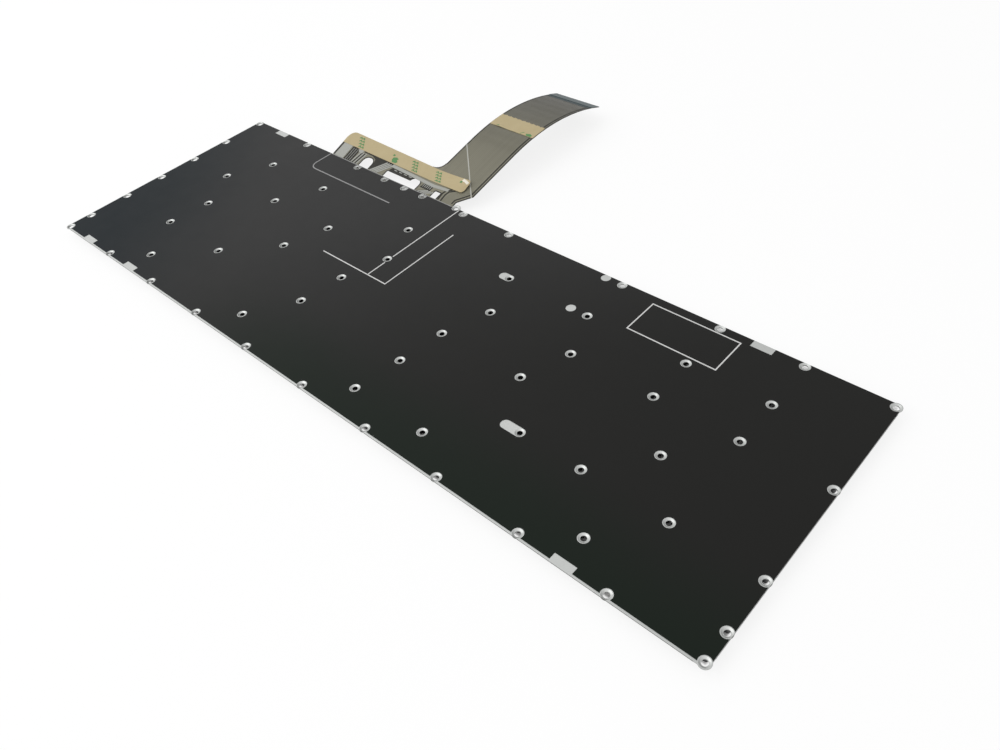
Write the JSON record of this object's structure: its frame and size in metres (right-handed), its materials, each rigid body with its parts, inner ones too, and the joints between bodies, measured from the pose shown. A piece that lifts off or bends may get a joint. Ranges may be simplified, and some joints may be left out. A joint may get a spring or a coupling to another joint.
{
  "type": "laptop replacement keyboard",
  "caption": "Full-size laptop keyboard with numeric pad, lying keys down: black back film, steel plate with fixing dimples, layered membrane with flat tail, and sprung keys.",
  "frame": {"origin": "centre of the part in plan, on the plane of the keycap tops that it lies on", "axes": "+X along the long side towards the numeric pad, +Y towards the side the membrane tail leaves, +Z out of the back film"},
  "size_m": [0.3376, 0.2091, 0.0142],
  "materials": {
    "black_film": "satin polyester film",
    "plate_steel": "zinc plated",
    "circuit_sheet": "translucent polyester with printed tracks",
    "spacer_sheet": "translucent polyester",
    "stiffener": "satin",
    "tan_tape": "paper liner",
    "dome_rubber": "milky silicone",
    "link_plastic": "natural moulded",
    "wire_steel": "drawn wire",
    "keycap_plastic": "fine texture"
  },
  "bodies": {
    "base": {"back_film": "black_film", "support_plate": "plate_steel", "membrane_back_sheet": "circuit_sheet", "membrane_spacer": "spacer_sheet", "membrane_key_sheet": "circuit_sheet", "tail_stiffener": "stiffener", "extension_tape": "tan_tape", "tail_tape": "tan_tape", "rubber_domes": "dome_rubber", "scissor_links": "link_plastic", "stabiliser_wires": "wire_steel", "function_row_keys": "keycap_plastic", "command_keys": "keycap_plastic", "numeric_pad_keys": "keycap_plastic"},
    "space_bar": {"space_bar": "keycap_plastic"},
    "key_1": {"key_1": "keycap_plastic"},
    "key_2": {"key_2": "keycap_plastic"},
    "key_3": {"key_3": "keycap_plastic"},
    "key_4": {"key_4": "keycap_plastic"},
    "key_5": {"key_5": "keycap_plastic"},
    "key_6": {"key_6": "keycap_plastic"},
    "key_7": {"key_7": "keycap_plastic"},
    "key_8": {"key_8": "keycap_plastic"},
    "key_9": {"key_9": "keycap_plastic"},
    "key_0": {"key_0": "keycap_plastic"},
    "key_minus": {"key_minus": "keycap_plastic"},
    "key_equals": {"key_equals": "keycap_plastic"},
    "key_q": {"key_q": "keycap_plastic"},
    "key_w": {"key_w": "keycap_plastic"},
    "key_e": {"key_e": "keycap_plastic"},
    "key_r": {"key_r": "keycap_plastic"},
    "key_t": {"key_t": "keycap_plastic"},
    "key_y": {"key_y": "keycap_plastic"},
    "key_u": {"key_u": "keycap_plastic"},
    "key_i": {"key_i": "keycap_plastic"},
    "key_o": {"key_o": "keycap_plastic"},
    "key_p": {"key_p": "keycap_plastic"},
    "key_left_bracket": {"key_left_bracket": "keycap_plastic"},
    "key_right_bracket": {"key_right_bracket": "keycap_plastic"},
    "key_a": {"key_a": "keycap_plastic"},
    "key_s": {"key_s": "keycap_plastic"},
    "key_d": {"key_d": "keycap_plastic"},
    "key_f": {"key_f": "keycap_plastic"},
    "key_g": {"key_g": "keycap_plastic"},
    "key_h": {"key_h": "keycap_plastic"},
    "key_j": {"key_j": "keycap_plastic"},
    "key_k": {"key_k": "keycap_plastic"},
    "key_l": {"key_l": "keycap_plastic"},
    "key_semicolon": {"key_semicolon": "keycap_plastic"},
    "key_quote": {"key_quote": "keycap_plastic"},
    "key_z": {"key_z": "keycap_plastic"},
    "key_x": {"key_x": "keycap_plastic"},
    "key_c": {"key_c": "keycap_plastic"},
    "key_v": {"key_v": "keycap_plastic"},
    "key_b": {"key_b": "keycap_plastic"},
    "key_n": {"key_n": "keycap_plastic"},
    "key_m": {"key_m": "keycap_plastic"},
    "key_comma": {"key_comma": "keycap_plastic"},
    "key_period": {"key_period": "keycap_plastic"},
    "key_slash": {"key_slash": "keycap_plastic"}
  },
  "joints": [
    {"name": "space_bar_press", "type": "slide", "parent": "base", "child": "space_bar", "axis": [0, 0, 1], "range_m": [0, 0.0013], "stiffness_N_per_m": 250, "springref_m": -0.0015, "deforming": ["rubber_domes", "scissor_links", "stabiliser_wires"]},
    {"name": "key_1_press", "type": "slide", "parent": "base", "child": "key_1", "axis": [0, 0, 1], "range_m": [0, 0.0013], "stiffness_N_per_m": 250, "springref_m": -0.0015, "deforming": ["rubber_domes", "scissor_links"]},
    {"name": "key_2_press", "type": "slide", "parent": "base", "child": "key_2", "axis": [0, 0, 1], "range_m": [0, 0.0013], "stiffness_N_per_m": 250, "springref_m": -0.0015, "deforming": ["rubber_domes", "scissor_links"]},
    {"name": "key_3_press", "type": "slide", "parent": "base", "child": "key_3", "axis": [0, 0, 1], "range_m": [0, 0.0013], "stiffness_N_per_m": 250, "springref_m": -0.0015, "deforming": ["rubber_domes", "scissor_links"]},
    {"name": "key_4_press", "type": "slide", "parent": "base", "child": "key_4", "axis": [0, 0, 1], "range_m": [0, 0.0013], "stiffness_N_per_m": 250, "springref_m": -0.0015, "deforming": ["rubber_domes", "scissor_links"]},
    {"name": "key_5_press", "type": "slide", "parent": "base", "child": "key_5", "axis": [0, 0, 1], "range_m": [0, 0.0013], "stiffness_N_per_m": 250, "springref_m": -0.0015, "deforming": ["rubber_domes", "scissor_links"]},
    {"name": "key_6_press", "type": "slide", "parent": "base", "child": "key_6", "axis": [0, 0, 1], "range_m": [0, 0.0013], "stiffness_N_per_m": 250, "springref_m": -0.0015, "deforming": ["rubber_domes", "scissor_links"]},
    {"name": "key_7_press", "type": "slide", "parent": "base", "child": "key_7", "axis": [0, 0, 1], "range_m": [0, 0.0013], "stiffness_N_per_m": 250, "springref_m": -0.0015, "deforming": ["rubber_domes", "scissor_links"]},
    {"name": "key_8_press", "type": "slide", "parent": "base", "child": "key_8", "axis": [0, 0, 1], "range_m": [0, 0.0013], "stiffness_N_per_m": 250, "springref_m": -0.0015, "deforming": ["rubber_domes", "scissor_links"]},
    {"name": "key_9_press", "type": "slide", "parent": "base", "child": "key_9", "axis": [0, 0, 1], "range_m": [0, 0.0013], "stiffness_N_per_m": 250, "springref_m": -0.0015, "deforming": ["rubber_domes", "scissor_links"]},
    {"name": "key_0_press", "type": "slide", "parent": "base", "child": "key_0", "axis": [0, 0, 1], "range_m": [0, 0.0013], "stiffness_N_per_m": 250, "springref_m": -0.0015, "deforming": ["rubber_domes", "scissor_links"]},
    {"name": "key_minus_press", "type": "slide", "parent": "base", "child": "key_minus", "axis": [0, 0, 1], "range_m": [0, 0.0013], "stiffness_N_per_m": 250, "springref_m": -0.0015, "deforming": ["rubber_domes", "scissor_links"]},
    {"name": "key_equals_press", "type": "slide", "parent": "base", "child": "key_equals", "axis": [0, 0, 1], "range_m": [0, 0.0013], "stiffness_N_per_m": 250, "springref_m": -0.0015, "deforming": ["rubber_domes", "scissor_links"]},
    {"name": "key_q_press", "type": "slide", "parent": "base", "child": "key_q", "axis": [0, 0, 1], "range_m": [0, 0.0013], "stiffness_N_per_m": 250, "springref_m": -0.0015, "deforming": ["rubber_domes", "scissor_links"]},
    {"name": "key_w_press", "type": "slide", "parent": "base", "child": "key_w", "axis": [0, 0, 1], "range_m": [0, 0.0013], "stiffness_N_per_m": 250, "springref_m": -0.0015, "deforming": ["rubber_domes", "scissor_links"]},
    {"name": "key_e_press", "type": "slide", "parent": "base", "child": "key_e", "axis": [0, 0, 1], "range_m": [0, 0.0013], "stiffness_N_per_m": 250, "springref_m": -0.0015, "deforming": ["rubber_domes", "scissor_links"]},
    {"name": "key_r_press", "type": "slide", "parent": "base", "child": "key_r", "axis": [0, 0, 1], "range_m": [0, 0.0013], "stiffness_N_per_m": 250, "springref_m": -0.0015, "deforming": ["rubber_domes", "scissor_links"]},
    {"name": "key_t_press", "type": "slide", "parent": "base", "child": "key_t", "axis": [0, 0, 1], "range_m": [0, 0.0013], "stiffness_N_per_m": 250, "springref_m": -0.0015, "deforming": ["rubber_domes", "scissor_links"]},
    {"name": "key_y_press", "type": "slide", "parent": "base", "child": "key_y", "axis": [0, 0, 1], "range_m": [0, 0.0013], "stiffness_N_per_m": 250, "springref_m": -0.0015, "deforming": ["rubber_domes", "scissor_links"]},
    {"name": "key_u_press", "type": "slide", "parent": "base", "child": "key_u", "axis": [0, 0, 1], "range_m": [0, 0.0013], "stiffness_N_per_m": 250, "springref_m": -0.0015, "deforming": ["rubber_domes", "scissor_links"]},
    {"name": "key_i_press", "type": "slide", "parent": "base", "child": "key_i", "axis": [0, 0, 1], "range_m": [0, 0.0013], "stiffness_N_per_m": 250, "springref_m": -0.0015, "deforming": ["rubber_domes", "scissor_links"]},
    {"name": "key_o_press", "type": "slide", "parent": "base", "child": "key_o", "axis": [0, 0, 1], "range_m": [0, 0.0013], "stiffness_N_per_m": 250, "springref_m": -0.0015, "deforming": ["rubber_domes", "scissor_links"]},
    {"name": "key_p_press", "type": "slide", "parent": "base", "child": "key_p", "axis": [0, 0, 1], "range_m": [0, 0.0013], "stiffness_N_per_m": 250, "springref_m": -0.0015, "deforming": ["rubber_domes", "scissor_links"]},
    {"name": "key_left_bracket_press", "type": "slide", "parent": "base", "child": "key_left_bracket", "axis": [0, 0, 1], "range_m": [0, 0.0013], "stiffness_N_per_m": 250, "springref_m": -0.0015, "deforming": ["rubber_domes", "scissor_links"]},
    {"name": "key_right_bracket_press", "type": "slide", "parent": "base", "child": "key_right_bracket", "axis": [0, 0, 1], "range_m": [0, 0.0013], "stiffness_N_per_m": 250, "springref_m": -0.0015, "deforming": ["rubber_domes", "scissor_links"]},
    {"name": "key_a_press", "type": "slide", "parent": "base", "child": "key_a", "axis": [0, 0, 1], "range_m": [0, 0.0013], "stiffness_N_per_m": 250, "springref_m": -0.0015, "deforming": ["rubber_domes", "scissor_links"]},
    {"name": "key_s_press", "type": "slide", "parent": "base", "child": "key_s", "axis": [0, 0, 1], "range_m": [0, 0.0013], "stiffness_N_per_m": 250, "springref_m": -0.0015, "deforming": ["rubber_domes", "scissor_links"]},
    {"name": "key_d_press", "type": "slide", "parent": "base", "child": "key_d", "axis": [0, 0, 1], "range_m": [0, 0.0013], "stiffness_N_per_m": 250, "springref_m": -0.0015, "deforming": ["rubber_domes", "scissor_links"]},
    {"name": "key_f_press", "type": "slide", "parent": "base", "child": "key_f", "axis": [0, 0, 1], "range_m": [0, 0.0013], "stiffness_N_per_m": 250, "springref_m": -0.0015, "deforming": ["rubber_domes", "scissor_links"]},
    {"name": "key_g_press", "type": "slide", "parent": "base", "child": "key_g", "axis": [0, 0, 1], "range_m": [0, 0.0013], "stiffness_N_per_m": 250, "springref_m": -0.0015, "deforming": ["rubber_domes", "scissor_links"]},
    {"name": "key_h_press", "type": "slide", "parent": "base", "child": "key_h", "axis": [0, 0, 1], "range_m": [0, 0.0013], "stiffness_N_per_m": 250, "springref_m": -0.0015, "deforming": ["rubber_domes", "scissor_links"]},
    {"name": "key_j_press", "type": "slide", "parent": "base", "child": "key_j", "axis": [0, 0, 1], "range_m": [0, 0.0013], "stiffness_N_per_m": 250, "springref_m": -0.0015, "deforming": ["rubber_domes", "scissor_links"]},
    {"name": "key_k_press", "type": "slide", "parent": "base", "child": "key_k", "axis": [0, 0, 1], "range_m": [0, 0.0013], "stiffness_N_per_m": 250, "springref_m": -0.0015, "deforming": ["rubber_domes", "scissor_links"]},
    {"name": "key_l_press", "type": "slide", "parent": "base", "child": "key_l", "axis": [0, 0, 1], "range_m": [0, 0.0013], "stiffness_N_per_m": 250, "springref_m": -0.0015, "deforming": ["rubber_domes", "scissor_links"]},
    {"name": "key_semicolon_press", "type": "slide", "parent": "base", "child": "key_semicolon", "axis": [0, 0, 1], "range_m": [0, 0.0013], "stiffness_N_per_m": 250, "springref_m": -0.0015, "deforming": ["rubber_domes", "scissor_links"]},
    {"name": "key_quote_press", "type": "slide", "parent": "base", "child": "key_quote", "axis": [0, 0, 1], "range_m": [0, 0.0013], "stiffness_N_per_m": 250, "springref_m": -0.0015, "deforming": ["rubber_domes", "scissor_links"]},
    {"name": "key_z_press", "type": "slide", "parent": "base", "child": "key_z", "axis": [0, 0, 1], "range_m": [0, 0.0013], "stiffness_N_per_m": 250, "springref_m": -0.0015, "deforming": ["rubber_domes", "scissor_links"]},
    {"name": "key_x_press", "type": "slide", "parent": "base", "child": "key_x", "axis": [0, 0, 1], "range_m": [0, 0.0013], "stiffness_N_per_m": 250, "springref_m": -0.0015, "deforming": ["rubber_domes", "scissor_links"]},
    {"name": "key_c_press", "type": "slide", "parent": "base", "child": "key_c", "axis": [0, 0, 1], "range_m": [0, 0.0013], "stiffness_N_per_m": 250, "springref_m": -0.0015, "deforming": ["rubber_domes", "scissor_links"]},
    {"name": "key_v_press", "type": "slide", "parent": "base", "child": "key_v", "axis": [0, 0, 1], "range_m": [0, 0.0013], "stiffness_N_per_m": 250, "springref_m": -0.0015, "deforming": ["rubber_domes", "scissor_links"]},
    {"name": "key_b_press", "type": "slide", "parent": "base", "child": "key_b", "axis": [0, 0, 1], "range_m": [0, 0.0013], "stiffness_N_per_m": 250, "springref_m": -0.0015, "deforming": ["rubber_domes", "scissor_links"]},
    {"name": "key_n_press", "type": "slide", "parent": "base", "child": "key_n", "axis": [0, 0, 1], "range_m": [0, 0.0013], "stiffness_N_per_m": 250, "springref_m": -0.0015, "deforming": ["rubber_domes", "scissor_links"]},
    {"name": "key_m_press", "type": "slide", "parent": "base", "child": "key_m", "axis": [0, 0, 1], "range_m": [0, 0.0013], "stiffness_N_per_m": 250, "springref_m": -0.0015, "deforming": ["rubber_domes", "scissor_links"]},
    {"name": "key_comma_press", "type": "slide", "parent": "base", "child": "key_comma", "axis": [0, 0, 1], "range_m": [0, 0.0013], "stiffness_N_per_m": 250, "springref_m": -0.0015, "deforming": ["rubber_domes", "scissor_links"]},
    {"name": "key_period_press", "type": "slide", "parent": "base", "child": "key_period", "axis": [0, 0, 1], "range_m": [0, 0.0013], "stiffness_N_per_m": 250, "springref_m": -0.0015, "deforming": ["rubber_domes", "scissor_links"]},
    {"name": "key_slash_press", "type": "slide", "parent": "base", "child": "key_slash", "axis": [0, 0, 1], "range_m": [0, 0.0013], "stiffness_N_per_m": 250, "springref_m": -0.0015, "deforming": ["rubber_domes", "scissor_links"]}
  ]
}
